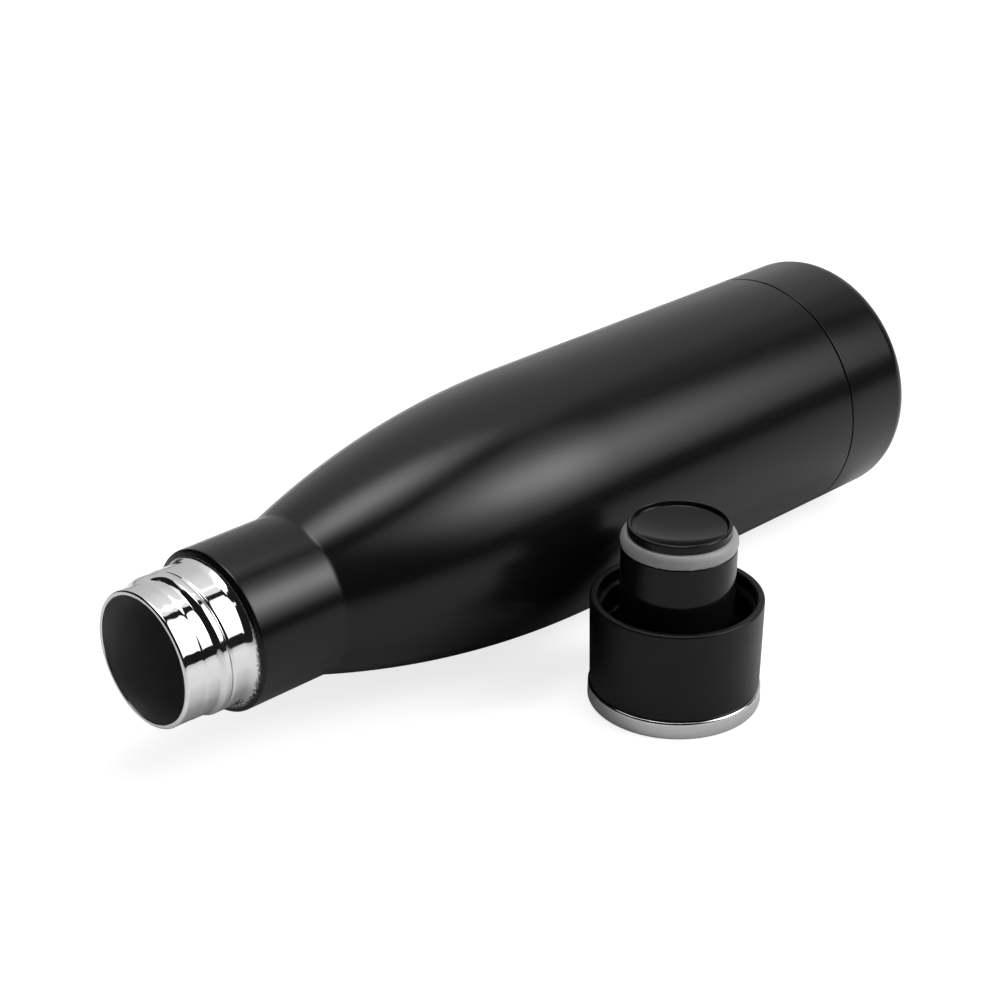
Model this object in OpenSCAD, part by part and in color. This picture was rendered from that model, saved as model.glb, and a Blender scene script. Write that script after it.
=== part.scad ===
// Slim-neck vacuum flask lying on its side, with its screw cap standing on its top plate beside it.
// Every flask piece is drawn upright on its own axis, with the base at z = 0 and the lip at the top,
// and is then laid down with the mouth towards -X. The cap is drawn as it stands, top plate down.
// Profiles are lists of [radius, height] points that are turned about the axis.

/* [Flask body] */
// Outside diameter of the body
body_d = 70; // [64:0.5:76]
// Height of the straight body, from the base to the start of the shoulder
body_h = 118.9; // [100:0.1:140]
// Height of the curved shoulder
shoulder_h = 85.8; // [75:0.1:95]
// Radius of the rounded edge round the base
base_edge_r = 5.7; // [4:0.1:8]
// Height of the parting line between the base cup and the shell
seam_h = 26.2; // [20:0.1:32]
// Width of the groove at the parting line
seam_w = 0.4; // [0.3:0.05:0.8]

/* [Neck and mouth] */
// Outside diameter of the coated neck
neck_d = 42.1; // [40:0.1:46]
// Height of the coated neck, from the shoulder to the step
neck_h = 24.9; // [20:0.1:30]
// Radius of the soft crease where the shoulder meets the neck
crease_r = 3; // [1:0.5:6]
// Height of the polished mouth, from the step to the lip
mouth_h = 21.1; // [20:0.1:24]
// Height of the rounded step up to the polished mouth
step_h = 2.9; // [2:0.1:4]
// Clearance between the seal ring and the bore of the mouth, on the radius
mouth_gap = 1.4; // [0.6:0.1:2]
// Width of the lip, from the bore to the plain land behind it
lip_w = 1.25; // [1:0.05:1.6]
// Radius of the rounded outer edge of the lip
lip_edge_r = 0.6; // [0.4:0.1:0.8]
// Thickness of the lip where shell and liner are welded
lip_t = 0.5; // [0.4:0.1:0.8]
// Height of the rolled thread's crest above the land
thread_rise = 1.15; // [0.8:0.05:1.4]
// Height of the plain collar behind the thread above the land
collar_rise = 0.9; // [0.6:0.05:1.2]
// Depth of the root between collar and thread, below the collar
root_depth = 0.5; // [0.2:0.1:0.8]
// Distance of the thread's crest below the lip
thread_drop = 10.7; // [9:0.1:12]
// Width of the thread's roll along the axis
thread_w = 5.4; // [4:0.1:6]

/* [Walls] */
// Wall of the outer shell
shell_t = 0.4; // [0.3:0.05:0.6]
// Wall of the inner liner
liner_t = 0.35; // [0.25:0.05:0.5]
// Wall of the base cup
cup_t = 0.4; // [0.3:0.05:0.6]
// Vacuum gap between shell and liner
vacuum_gap = 3; // [2.8:0.1:3.5]
// Thickness of the copper foil round the liner
foil_t = 0.1; // [0.05:0.05:0.2]
// Distance of the foil's ends from the ends of the liner's straight wall
foil_margin = 5; // [2:0.5:10]

/* [Base] */
// Thickness of the bond between base cup and shell
bond_t = 0.1; // [0.05:0.05:0.2]
// Height of the bond ring
bond_h = 12; // [6:0.5:14]
// Distance of the bond ring below the parting line
bond_drop = 1; // [0.5:0.1:2]
// Diameter of the recess under the base cup
recess_d = 42; // [30:0.5:48]
// Depth of the recess under the base cup
recess_depth = 1.4; // [0.8:0.1:2]
// Clearance between the rounded edge of the cup and the end of the shell
shell_end_gap = 0.4; // [0.3:0.1:1]
// Height of the rim on the pressed bottoms
pan_rim_h = 4.5; // [3.5:0.1:6]
// Corner radius of the outer vacuum bottom
outer_corner_r = 1.5; // [1:0.1:2]
// Corner radius of the liner bottom
liner_corner_r = 4; // [3:0.1:4.4]
// Diameter of the pump-out dimple
dimple_d = 12; // [10:0.5:16]
// Depth of the pump-out dimple
dimple_depth = 1.2; // [1:0.1:1.4]
// Diameter of the pump-out hole
pump_hole_d = 1.5; // [1:0.1:2]
// Diameter of the glass bead over the pump-out hole
bead_d = 7; // [5:0.1:8]
// Thickness of the glass bead
bead_t = 0.9; // [0.6:0.1:1]
// Diameter of the getter pellet
getter_d = 9; // [6:0.5:10]
// Thickness of the getter pellet
getter_t = 1.6; // [1:0.1:1.8]
// Distance of the getter from the axis
getter_from_axis = 18; // [16:0.5:20]
// Sheet thickness of the getter clip
clip_t = 0.3; // [0.2:0.05:0.4]
// Width of the getter clip
clip_w = 4; // [3:0.5:6]
// Length of each foot of the getter clip
clip_foot = 3; // [2:0.5:4]

/* [Cap] */
// Height of the cap's rim above the surface it stands on
cap_h = 29.7; // [29:0.1:33]
// Wall of the cap's skirt at its rim
skirt_t = 2.1; // [1.8:0.05:2.4]
// Draft of the skirt's outside: how much its radius shrinks towards the closed end
skirt_draft = 0.25; // [0.1:0.05:0.4]
// Radius of the rounded edges of the rim
rim_edge_r = 0.7; // [0.4:0.05:0.8]
// Thickness of the cap's closed end
end_t = 2.5; // [2:0.1:3]
// Ledge of the top plate's rim round the skirt
plate_ledge = 0.15; // [0.05:0.05:0.4]
// Flare of the top plate's side, on the radius
plate_flare = 0.2; // [0:0.05:0.4]
// Height of the top plate
plate_h = 4.85; // [4:0.05:5.5]
// Sheet thickness of the top plate
plate_t = 0.5; // [0.4:0.05:0.6]
// Radius of the top plate's pressed edge
plate_edge_r = 0.8; // [0.6:0.1:1.2]
// Thickness of the bond under the top plate
plate_bond_t = 0.3; // [0.2:0.05:0.5]
// Clearance round the cap's spigot inside the top plate
plate_gap = 0.05; // [0:0.05:0.1]

/* [Thread insert] */
// Clearance between the insert's bore and the crest of the neck's thread, on the radius
thread_gap = 0.3; // [0.2:0.05:0.5]
// Wall of the insert behind its thread
insert_t = 1.1; // [0.9:0.05:1.2]
// Setback of the insert from the rim
insert_setback = 3.5; // [2:0.1:5]
// Lead-in chamfer at the insert's mouth
insert_lead = 0.6; // [0.3:0.1:0.8]
// Height of the pocket that traps the stopper's flange
flange_t = 1.7; // [1.2:0.1:2]
// Thickness of the insert's floor
insert_floor_t = 2; // [1.5:0.1:2.5]

/* [Stopper] */
// Outside diameter of the stopper
stopper_d = 29.5; // [29:0.05:29.6]
// Width of the flange that holds the stopper in the insert
flange_w = 2.25; // [1.5:0.05:3]
// Wall of the stopper
stopper_t = 1.8; // [1.5:0.1:2.2]
// Distance from the cap's rim to the shelf that carries the seal
shelf_rise = 14.4; // [13.5:0.1:15]
// Height of the seal ring
seal_h = 3.6; // [3:0.1:4.2]
// Largest diameter of the seal ring
seal_d = 30; // [29.8:0.05:30.2]
// Height of the seal's widest line above its lower face
seal_bulge_h = 1.2; // [0.8:0.1:1.6]
// Width of the shelf that the seal ring sits on
shelf_w = 2.25; // [1.8:0.05:2.6]
// Wall of that post
post_t = 1.4; // [1:0.1:1.8]
// Clearance between the seal ring and the stopper
seal_gap = 0.05; // [0.03:0.01:0.1]
// Overhang of the stopper's end over the seal ring's hole
end_overhang = 0.8; // [0.5:0.05:1.2]
// Height of the stopper's end above the seal
end_h = 2.3; // [1.8:0.1:3]
// Width of the rim round the dish in the stopper's end
dish_rim_w = 0.7; // [0.5:0.1:1.2]
// Depth of the dish in the stopper's end
dish_depth = 1.1; // [0.6:0.1:1.4]
// Depth of the spigot that holds the end in the post
plug_h = 2; // [1.5:0.1:2.5]
// Clearance round the foam core
foam_gap = 0.2; // [0.1:0.05:0.5]

/* [Closed fit] */
// Gap between the cap's rim and the coated neck when the cap is screwed home
closed_gap = 0.6; // [0.4:0.1:1]
// Squeeze of the seal ring in the throat, on the radius
seal_squeeze = 0.15; // [0.1:0.05:0.2]
// Straight length of the throat above the seated seal
throat_margin = 1.2; // [0.8:0.1:2]
// Height of the cone between the throat and the mouth bore
cone_h = 3.5; // [3:0.1:5]

/* [Layout] */
// Distance of the cap's axis from the flask's base, along the flask
cap_from_base = 127.7; // [110:0.1:150]
// Gap between the cap's plate and the flask's body
cap_side_gap = 2; // [1:0.1:5]

/* [Hidden] */
$fn = 96;
arc_steps = 6;
shoulder_steps = 24;
edge_break = 0.3;
coat = "#1c1c1c";
polished = "#dcdcdc";
steel = "#b4b4b4";
black_plastic = "#202020";

body_r = body_d / 2;
neck_r = neck_d / 2;
seal_r = seal_d / 2;
bore_r = seal_r + mouth_gap;
land_r = bore_r + lip_w;
thread_r = land_r + thread_rise;
collar_r = land_r + collar_rise;
neck_from = body_h + shoulder_h;
neck_to = neck_from + neck_h;
collar_from = neck_to + step_h;
lip_z = neck_to + mouth_h;
thread_z = lip_z - thread_drop;

// the shoulder is one arc, tangent to the body, that ends on the neck
shoulder_drop = body_r - neck_r;
shoulder_r = (pow(shoulder_h, 2) + pow(shoulder_drop, 2)) / (2 * shoulder_drop);
arc_axis = body_r - shoulder_r;

skirt_r = body_r - cup_t - bond_t;
shell_from = base_edge_r + shell_end_gap;
seam_to = seam_h + seam_w;
liner_off = shell_t + vacuum_gap;
liner_r = body_r - liner_off;
liner_bottom_z = shell_from + shell_t + vacuum_gap;
liner_from = liner_bottom_z + pan_rim_h;

insert_bore_r = thread_r + thread_gap;
skirt_bore_r = insert_bore_r + insert_t;
cap_r = skirt_bore_r + skirt_t;
cap_low_r = cap_r - skirt_draft;
plate_rim_r = cap_low_r + plate_ledge;
plate_r = plate_rim_r + plate_flare;
spigot_r = plate_rim_r - plate_t - plate_gap;
end_from = plate_t + plate_bond_t;
end_to = end_from + end_t;
insert_floor_z = end_to + flange_t;
stopper_r = stopper_d / 2;
flange_r = stopper_r + flange_w;
hollow_r = stopper_r - stopper_t;
shelf_z = cap_h + shelf_rise;
seal_to = shelf_z + seal_h;
post_r = stopper_r - shelf_w;
post_bore_r = post_r - post_t;
end_r = post_r + end_overhang;
end_z = seal_to + end_h;

// where the closed cap puts its seal, and the throat that grips it there
closed_rim_z = neck_to + closed_gap;
throat_r = seal_r - seal_squeeze;
throat_to = closed_rim_z - shelf_rise + throat_margin;

// the row's origin is under the middle of the whole object
base_x = lip_z / 2;
cap_off = body_r + plate_r + cap_side_gap;
flask_y = (cap_off + plate_r - body_r) / 2;
cap_x = base_x - cap_from_base;
cap_y = flask_y - cap_off;

// points of an arc round [r, z], from angle a to angle b
function arc(r, z, radius, a, b, steps = arc_steps) =
    [for (i = [0 : steps]) let (t = a + (b - a) * i / steps) [r + radius * cos(t), z + radius * sin(t)]];

function unit(v) = v / norm(v);

// the arc of the given radius that rounds the corner at b between a and c
function corner(a, b, c, radius) =
    let (u = unit(a - b), v = unit(c - b), half = acos(u * v) / 2,
         centre = b + unit(u + v) * radius / sin(half),
         p = b + u * radius / tan(half) - centre, q = b + v * radius / tan(half) - centre,
         from = atan2(p.y, p.x), turn = atan2(q.y, q.x) - from,
         swing = turn > 180 ? turn - 360 : turn < -180 ? turn + 360 : turn)
    arc(centre.x, centre.y, radius, from, from + swing);

// a profile whose points may hold a third number, the radius that rounds that corner
function rounded(path) = [
    for (i = [0 : len(path) - 1]) let (b = [path[i].x, path[i].y])
        each len(path[i]) < 3 ? [b]
            : corner([path[i - 1].x, path[i - 1].y], b, [path[i + 1].x, path[i + 1].y], path[i].z)];

function reverse(points) = [for (i = [len(points) - 1 : -1 : 0]) points[i]];

// the shoulder's arc moved inwards by off, up to the place where it reaches the radius to_r
function shoulder(off, to_r) =
    arc(arc_axis, body_h, shoulder_r - off, 0, acos((to_r - arc_axis) / (shoulder_r - off)), shoulder_steps);

// the same arc with a crease of the given radius at its end
function creased(off, to_r, radius) =
    let (points = shoulder(off, to_r), last = len(points) - 1)
    [for (i = [0 : last]) i < last ? points[i] : concat(points[i], [radius])];

// smooth change from a to b while t goes from 0 to 1
function ease(a, b, t) = a + (b - a) * (1 - cos(180 * t)) / 2;

// the polished mouth from the step to the lip's edge, moved inwards by off
function mouth(off) = concat(
    [for (i = [0 : arc_steps]) let (t = i / arc_steps)
        [ease(neck_r - edge_break, collar_r, t) - off, neck_to + step_h * t - off / 2]],
    [[collar_r - off, thread_z - thread_w]],
    [for (i = [0 : arc_steps]) let (t = i / arc_steps)
        [ease(collar_r - root_depth, thread_r, t) - off, thread_z - thread_w / 2 * (1 - t)]],
    [for (i = [1 : arc_steps]) let (t = i / arc_steps)
        [ease(thread_r, land_r, t) - off, thread_z + thread_w / 2 * t]]);

module lay_down() {
    translate([base_x, flask_y, body_r]) rotate([0, -90, 0]) children();
}

module stand_cap() {
    translate([cap_x, cap_y, 0]) children();
}

module turned(points) {
    rotate_extrude() polygon(points);
}

module outer_shell() {
    body = concat(
        [[skirt_r, shell_from], [skirt_r, seam_to], [body_r, seam_to, edge_break]],
        creased(0, neck_r, crease_r),
        [[neck_r, neck_to, edge_break], [neck_r - edge_break, neck_to]]);
    lip = [[land_r, lip_z, lip_edge_r], [bore_r, lip_z], [bore_r, lip_z - lip_t], [land_r - shell_t, lip_z - lip_t]];
    inside = concat(
        [[neck_r - shell_t, neck_to - shell_t]],
        reverse(creased(shell_t, neck_r - shell_t, crease_r + shell_t)),
        [[body_r - shell_t, seam_to + shell_t], [skirt_r - shell_t, seam_to + shell_t]],
        [[skirt_r - shell_t, shell_from]]);
    color(coat) lay_down() turned(rounded(concat(body, mouth(0), lip, reverse(mouth(shell_t)), inside)));
}

module inner_liner() {
    outside = concat(
        [[liner_r, liner_from]],
        creased(liner_off, throat_r + liner_t, crease_r),
        [[throat_r + liner_t, throat_to, crease_r], [bore_r + liner_t, throat_to + cone_h]],
        [[bore_r + liner_t, lip_z - lip_t]]);
    inside = concat(
        [[bore_r, lip_z - lip_t], [bore_r, throat_to + cone_h], [throat_r, throat_to, crease_r + liner_t]],
        reverse(creased(liner_off + liner_t, throat_r, crease_r + liner_t)),
        [[liner_r - liner_t, liner_from]]);
    color(steel) lay_down() turned(rounded(concat(outside, inside)));
}

// pressed pan with its rim upwards: r is its outside radius, z its lower face, c its corner radius
module pan(r, z, t, c, rim, centre_low, centre_high) {
    turned(concat(
        centre_low, arc(r - c, z + c, c, -90, 0), [[r, z + rim], [r - t, z + rim]],
        arc(r - c, z + c, c - t, 0, -90), centre_high));
}

module liner_bottom() {
    color(steel) lay_down()
        pan(liner_r, liner_bottom_z, liner_t, liner_corner_r, pan_rim_h,
            [[0, liner_bottom_z]], [[0, liner_bottom_z + liner_t]]);
}

module outer_bottom() {
    top = shell_from + dimple_depth;
    color(steel) lay_down()
        pan(skirt_r - shell_t, shell_from, shell_t, outer_corner_r, pan_rim_h,
            [[pump_hole_d / 2, top], [dimple_d / 2 - dimple_depth, top], [dimple_d / 2, shell_from]],
            [[dimple_d / 2 + shell_t / 2, shell_from + shell_t],
             [dimple_d / 2 - dimple_depth + shell_t / 2, top + shell_t], [pump_hole_d / 2, top + shell_t]]);
}

module vacuum_seal_bead() {
    top = shell_from + dimple_depth;
    color("#303840") lay_down()
        turned([[0, top], [bead_d / 2, top], [bead_d / 2 - edge_break, top - bead_t / 2],
                [bead_d / 4, top - bead_t], [0, top - bead_t]]);
}

module radiation_foil() {
    color("#c87848") lay_down() translate([0, 0, liner_from + foil_margin])
        difference() {
            cylinder(r = liner_r + foil_t, h = body_h - liner_from - 2 * foil_margin);
            translate([0, 0, -foil_margin]) cylinder(r = liner_r, h = body_h);
        }
}

module at_getter() {
    translate([getter_from_axis, 0, shell_from + shell_t]) children();
}

module getter() {
    color("#606468") lay_down() at_getter() cylinder(d = getter_d, h = getter_t);
}

module getter_clip() {
    half = getter_d / 2;
    foot = half + clip_t + clip_foot;
    color(steel) lay_down() at_getter() translate([0, clip_w / 2, 0]) rotate([90, 0, 0])
        linear_extrude(clip_w) polygon([
            [-foot, 0], [-half, 0], [-half, getter_t], [half, getter_t], [half, 0], [foot, 0], [foot, clip_t],
            [half + clip_t, clip_t], [half + clip_t, getter_t + clip_t], [-half - clip_t, getter_t + clip_t],
            [-half - clip_t, clip_t], [-foot, clip_t]]);
}

module base_cup() {
    recess_r = recess_d / 2;
    color(coat) lay_down()
        turned(concat(
            [[0, recess_depth], [recess_r - recess_depth, recess_depth], [recess_r, 0]],
            arc(body_r - base_edge_r, base_edge_r, base_edge_r, -90, 0),
            arc(body_r - edge_break, seam_h - edge_break, edge_break, 0, 90), [[body_r - cup_t, seam_h]],
            arc(body_r - base_edge_r, base_edge_r, base_edge_r - cup_t, 0, -90),
            [[recess_r + cup_t / 2, cup_t], [recess_r - recess_depth + cup_t / 2, recess_depth + cup_t]],
            [[0, recess_depth + cup_t]]));
}

module cup_adhesive() {
    color("#806040") lay_down() translate([0, 0, seam_h - bond_drop - bond_h])
        difference() {
            cylinder(r = body_r - cup_t, h = bond_h);
            translate([0, 0, -bond_h]) cylinder(r = skirt_r, h = 3 * bond_h);
        }
}

module cap_shell() {
    color(black_plastic) stand_cap()
        turned(concat(
            [[0, end_from], [spigot_r, end_from], [spigot_r, plate_h], [cap_low_r, plate_h]],
            arc(cap_r - rim_edge_r, cap_h - rim_edge_r, rim_edge_r, 0, 90),
            arc(skirt_bore_r + rim_edge_r, cap_h - rim_edge_r, rim_edge_r, 90, 180),
            [[skirt_bore_r, end_to], [0, end_to]]));
}

module cap_top_plate() {
    wall_r = plate_rim_r - plate_t;
    color(steel) stand_cap()
        turned(concat(
            [[0, 0]], arc(plate_r - plate_edge_r, plate_edge_r, plate_edge_r, -90, 0),
            [[plate_rim_r, plate_h], [wall_r, plate_h], [wall_r, plate_t], [0, plate_t]]));
}

module plate_adhesive() {
    color("#806040") stand_cap() translate([0, 0, plate_t])
        cylinder(r = spigot_r - plate_edge_r, h = plate_bond_t);
}

module thread_insert() {
    top = cap_h - insert_setback;
    floor_top = insert_floor_z + insert_floor_t;
    color(black_plastic) stand_cap()
        turned([
            [flange_r, end_to], [skirt_bore_r, end_to], [skirt_bore_r, top], [insert_bore_r + insert_lead, top],
            [insert_bore_r, top - insert_lead], [insert_bore_r, floor_top], [stopper_r, floor_top],
            [stopper_r, insert_floor_z], [flange_r, insert_floor_z]]);
}

module stopper_body() {
    color(black_plastic) stand_cap()
        turned(concat(
            [[hollow_r, end_to], [flange_r, end_to], [flange_r, insert_floor_z], [stopper_r, insert_floor_z]],
            [[stopper_r, shelf_z - edge_break], [stopper_r - edge_break, shelf_z], [post_r, shelf_z]],
            [[post_r, seal_to], [post_bore_r, seal_to], [post_bore_r, shelf_z - stopper_t]],
            [[hollow_r, shelf_z - stopper_t]]));
}

module stopper_foam() {
    color("#e8e0c8") stand_cap() translate([0, 0, end_to])
        cylinder(r = hollow_r - foam_gap, h = shelf_z - stopper_t - foam_gap - end_to);
}

module stopper_end() {
    // the dish is a shallow arc between its rim and its lowest point on the axis
    dish_r = end_r - dish_rim_w;
    sphere_r = (pow(dish_r, 2) + pow(dish_depth, 2)) / (2 * dish_depth);
    half_angle = asin(dish_r / sphere_r);
    color(black_plastic) stand_cap()
        turned(concat(
            [[0, seal_to - plug_h], [post_bore_r, seal_to - plug_h], [post_bore_r, seal_to], [end_r, seal_to]],
            [[end_r, end_z - edge_break], [end_r - edge_break, end_z]],
            arc(0, end_z - dish_depth + sphere_r, sphere_r, half_angle - 90, -90, 2 * arc_steps)));
}

module seal_ring() {
    low = shelf_z + seal_gap;
    high = seal_to - seal_gap;
    bulge_z = low + seal_bulge_h;
    hole_r = post_r + seal_gap;
    color("#c8c8c8") stand_cap()
        turned(concat(
            [[hole_r, low], [stopper_r, low], [seal_r, bulge_z]],
            [for (i = [1 : arc_steps]) let (t = 90 * i / arc_steps)
                [end_r + (seal_r - end_r) * cos(t), bulge_z + (high - bulge_z) * sin(t)]],
            [[hole_r, high]]));
}

outer_shell();
inner_liner();
liner_bottom();
outer_bottom();
vacuum_seal_bead();
radiation_foil();
getter();
getter_clip();
base_cup();
cup_adhesive();
cap_shell();
cap_top_plate();
plate_adhesive();
thread_insert();
stopper_body();
stopper_foam();
stopper_end();
seal_ring();
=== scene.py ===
"""Slim-neck vacuum flask lying on its side, with its screw cap standing on its top plate beside it.

Turned pieces are drawn as paths of (radius, height) points in millimetres and turned about the flask's axis or
the cap's axis. On the flask, height runs from the base to the lip. On the cap, it runs up from the floor.
"""

import math
from types import SimpleNamespace

import bmesh
import bpy
from bpy.props import FloatProperty, FloatVectorProperty, PointerProperty
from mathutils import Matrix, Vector


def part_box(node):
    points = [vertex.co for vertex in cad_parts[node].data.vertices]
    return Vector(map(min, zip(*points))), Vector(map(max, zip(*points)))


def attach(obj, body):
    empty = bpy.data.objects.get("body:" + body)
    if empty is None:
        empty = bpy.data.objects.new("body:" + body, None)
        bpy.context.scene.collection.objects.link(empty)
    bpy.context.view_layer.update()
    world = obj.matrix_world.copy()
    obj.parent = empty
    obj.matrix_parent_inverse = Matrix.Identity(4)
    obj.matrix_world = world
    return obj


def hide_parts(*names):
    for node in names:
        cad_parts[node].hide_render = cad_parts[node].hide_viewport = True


bl_info = {
    "name": "Vacuum Flask",
    "version": (1, 0, 0),
    "blender": (4, 5, 0),
    "location": "3D View > Sidebar > Flask",
    "description": "Builds a slim-neck vacuum flask with its screw cap and a plain studio",
    "category": "Add Mesh",
}

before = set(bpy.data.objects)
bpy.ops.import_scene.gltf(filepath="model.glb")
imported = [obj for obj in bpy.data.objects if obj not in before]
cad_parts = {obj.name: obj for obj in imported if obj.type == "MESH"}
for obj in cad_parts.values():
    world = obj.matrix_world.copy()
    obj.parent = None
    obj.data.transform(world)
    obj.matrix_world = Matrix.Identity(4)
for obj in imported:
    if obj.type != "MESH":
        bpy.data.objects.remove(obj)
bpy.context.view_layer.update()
MM = 0.001
TURN_STEPS = 288


def span(node):
    """The lowest corner, the highest corner and the middle of a node of the frame, in millimetres."""
    low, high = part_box(node)
    return low / MM, high / MM, (low + high) / 2 / MM


def hex_colour(code):
    """Turns an sRGB hex value into linear red, green and blue."""
    parts = [int(code[i:i + 2], 16) / 255 for i in (1, 3, 5)]
    return [p / 12.92 if p <= 0.04045 else ((p + 0.055) / 1.055) ** 2.4 for p in parts]


def length(label, text, millimetres):
    """A size property; the value is in metres and shown in the scene's unit."""
    return FloatProperty(name=label, description=text, default=millimetres * MM, min=0.0, precision=5, unit="LENGTH")


def colour(label, text, code):
    """A colour property whose default is given as an sRGB hex value."""
    return FloatVectorProperty(name=label, description=text, default=hex_colour(code), size=3, min=0.0, max=1.0,
                               subtype="COLOR")


def share(label, text, value, high=1.0):
    """A plain number from nought upwards."""
    return FloatProperty(name=label, description=text, default=value, min=0.0, max=high, subtype="FACTOR")


# ---------------------------------------------------------------- settings


class FlaskSizes(bpy.types.PropertyGroup):
    """Sizes of the flask's own pieces"""

    edge_r: length("Base edge", "Radius of the rounded edge round the base", 5.7)
    seam_h: length("Parting line", "Height of the parting line above the base", 26.2)
    seam_w: length("Groove", "Width of the groove at the parting line", 0.4)
    body_h: length("Straight body", "Height at which the shoulder starts", 118.9)
    neck_from: length("Neck start", "Height at which the shoulder meets the neck", 204.7)
    neck_to: length("Neck end", "Height at which the coating ends", 229.6)
    neck_d: length("Neck", "Diameter of the coated neck", 42.1)
    crease_r: length("Crease", "Radius of the crease between shoulder and neck", 5.0)
    bore_d: length("Mouth bore", "Diameter of the open mouth", 32.8)
    land_d: length("Lip land", "Diameter of the plain land behind the lip", 35.2)
    thread_d: length("Thread", "Diameter over the rolled thread", 37.2)
    thread_h: length("Thread front", "Distance of the thread's front below the lip, on the cap's side", 9.6)
    groove_h: length("Thread groove", "Distance of the thread's groove below the lip, on the cap's side", 12.2)
    thread_pitch: length("Pitch", "Rise of the rolled thread in one turn", 5.94)
    throat_d: length("Throat", "Diameter of the throat that grips the seal", 29.7)
    shell_t: length("Shell wall", "Thickness of the outer shell", 0.4)
    liner_t: length("Liner wall", "Thickness of the inner liner", 0.35)
    vacuum_gap: length("Vacuum gap", "Gap between shell and liner", 3.0)


class CapSizes(bpy.types.PropertyGroup):
    """Sizes of the cap, its plate and its stopper"""

    draft: length("Draft", "How much the skirt's radius shrinks towards the plate", 0.25)
    rim_edge_r: length("Rim edge", "Radius of the rounded edges of the rim", 0.7)
    plate_edge_r: length("Plate edge", "Radius of the pressed edge of the top plate", 0.8)
    insert_bore_d: length("Insert bore", "Diameter of the bore behind the female thread", 38.2)
    rib_w: length("Thread rib", "Width of the female thread's rib", 1.5)
    rib_h: length("Thread height", "Height of the female thread's rib", 0.7)
    stopper_d: length("Stopper", "Diameter of the stopper", 29.5)
    dish_depth: length("Dish", "Depth of the bowl in the stopper's end below its rim's wall", 1.9)
    dish_rim: length("Dish rim", "Width of the rim round the dish", 0.9)


class Finishes(bpy.types.PropertyGroup):
    """Colours and gloss of the visible finishes"""

    coat: colour("Powder coat", "Colour of the coated shell and base", "#090909")
    coat_roughness: share("Coat roughness", "Roughness of the powder coat", 0.21)
    steel: colour("Polished steel", "Colour of the polished mouth", "#cccccc")
    steel_roughness: share("Steel roughness", "Roughness of the polished mouth", 0.05)
    plate: colour("Satin steel", "Colour of the cap's top plate", "#c2c2c2")
    plastic: colour("Cap plastic", "Colour of the cap and the stopper", "#0c0c0c")
    silicone: colour("Silicone", "Colour of the seal ring", "#7e7e7e")


class Studio(bpy.types.PropertyGroup):
    """Camera, lamps and surroundings"""

    camera_at: FloatVectorProperty(name="Camera", description="Place of the camera", size=3, unit="LENGTH",
                                   subtype="TRANSLATION", default=(-0.3978, -0.3821, 0.3174))
    camera_heading: FloatProperty(name="Heading", description="Direction of view, from +Y towards +X",
                                  default=math.radians(43.89), subtype="ANGLE")
    camera_pitch: FloatProperty(name="Pitch", description="Downward tilt of the view",
                                default=math.radians(26.5), subtype="ANGLE")
    camera_lens: FloatProperty(name="Lens", description="Focal length on a 36 mm sensor", default=84.57,
                               unit="CAMERA", subtype="DISTANCE_CAMERA")
    key_light: FloatProperty(name="Key softbox", description="Brightness of the side softbox's middle", default=14.5)
    top_light: FloatProperty(name="Top softbox", description="Brightness of the top softbox's middle", default=11.0)
    fill_light: FloatProperty(name="Fill", description="Strength of the even light from all round", default=0.3)
    floor: colour("Floor", "Colour of the floor", "#ececec")


def settings():
    """The four groups of settings of the scene."""
    scene = bpy.context.scene
    return scene.flask_sizes, scene.cap_sizes, scene.flask_finishes, scene.flask_studio


def millimetres(group):
    """A group's lengths as plain numbers in millimetres."""
    return SimpleNamespace(**{name: getattr(group, name) / MM for name in group.__annotations__})


# ---------------------------------------------------------------- shapes

BASE_LOW, BASE_HIGH, BASE_MID = span("base_cup")
SHELL_LOW, _, _ = span("outer_shell")
BODY_R = (BASE_HIGH.z - BASE_LOW.z) / 2
LIP_H = BASE_HIGH.x - SHELL_LOW.x
PLATE_LOW, PLATE_HIGH, PLATE_MID = span("cap_top_plate")


def on_flask(radius, height, turn):
    """A point on the flask: no turn is straight up, and a quarter turn faces the cap."""
    return Vector((BASE_HIGH.x - height, BASE_MID.y - radius * math.sin(turn),
                   BASE_MID.z + radius * math.cos(turn))) * MM


def on_cap(radius, height, turn):
    """A point on the cap: no turn is towards +X, and a quarter turn is towards +Y."""
    return Vector((PLATE_MID.x + radius * math.cos(turn), PLATE_MID.y + radius * math.sin(turn), height)) * MM


def arc(radius, height, size, start, end, steps=8):
    """Points of an arc of the given size round (radius, height), between two angles in degrees."""
    angles = [math.radians(start + (end - start) * i / steps) for i in range(steps + 1)]
    return [(radius + size * math.cos(t), height + size * math.sin(t)) for t in angles]


def rounded(path, steps=8):
    """A path whose points may hold a third number, the radius that rounds that corner."""
    made = []
    for i, point in enumerate(path):
        if len(point) < 3:
            made.append(point)
            continue
        here = Vector(point[:2])
        before = (Vector(path[i - 1][:2]) - here).normalized()
        after = (Vector(path[i + 1][:2]) - here).normalized()
        half = before.angle(after) / 2
        centre = here + (before + after).normalized() * point[2] / math.sin(half)
        first = here + before * point[2] / math.tan(half) - centre
        last = here + after * point[2] / math.tan(half) - centre
        start = math.degrees(math.atan2(first.y, first.x))
        swing = (math.degrees(math.atan2(last.y, last.x)) - start + 180) % 360 - 180
        made += arc(centre.x, centre.y, point[2], start, start + swing, steps)
    return made


def between(a, b, t):
    """A smooth change from a to b while t goes from 0 to 1."""
    t = min(max(t, 0.0), 1.0)
    return a + (b - a) * t * t * (3 - 2 * t)


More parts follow.
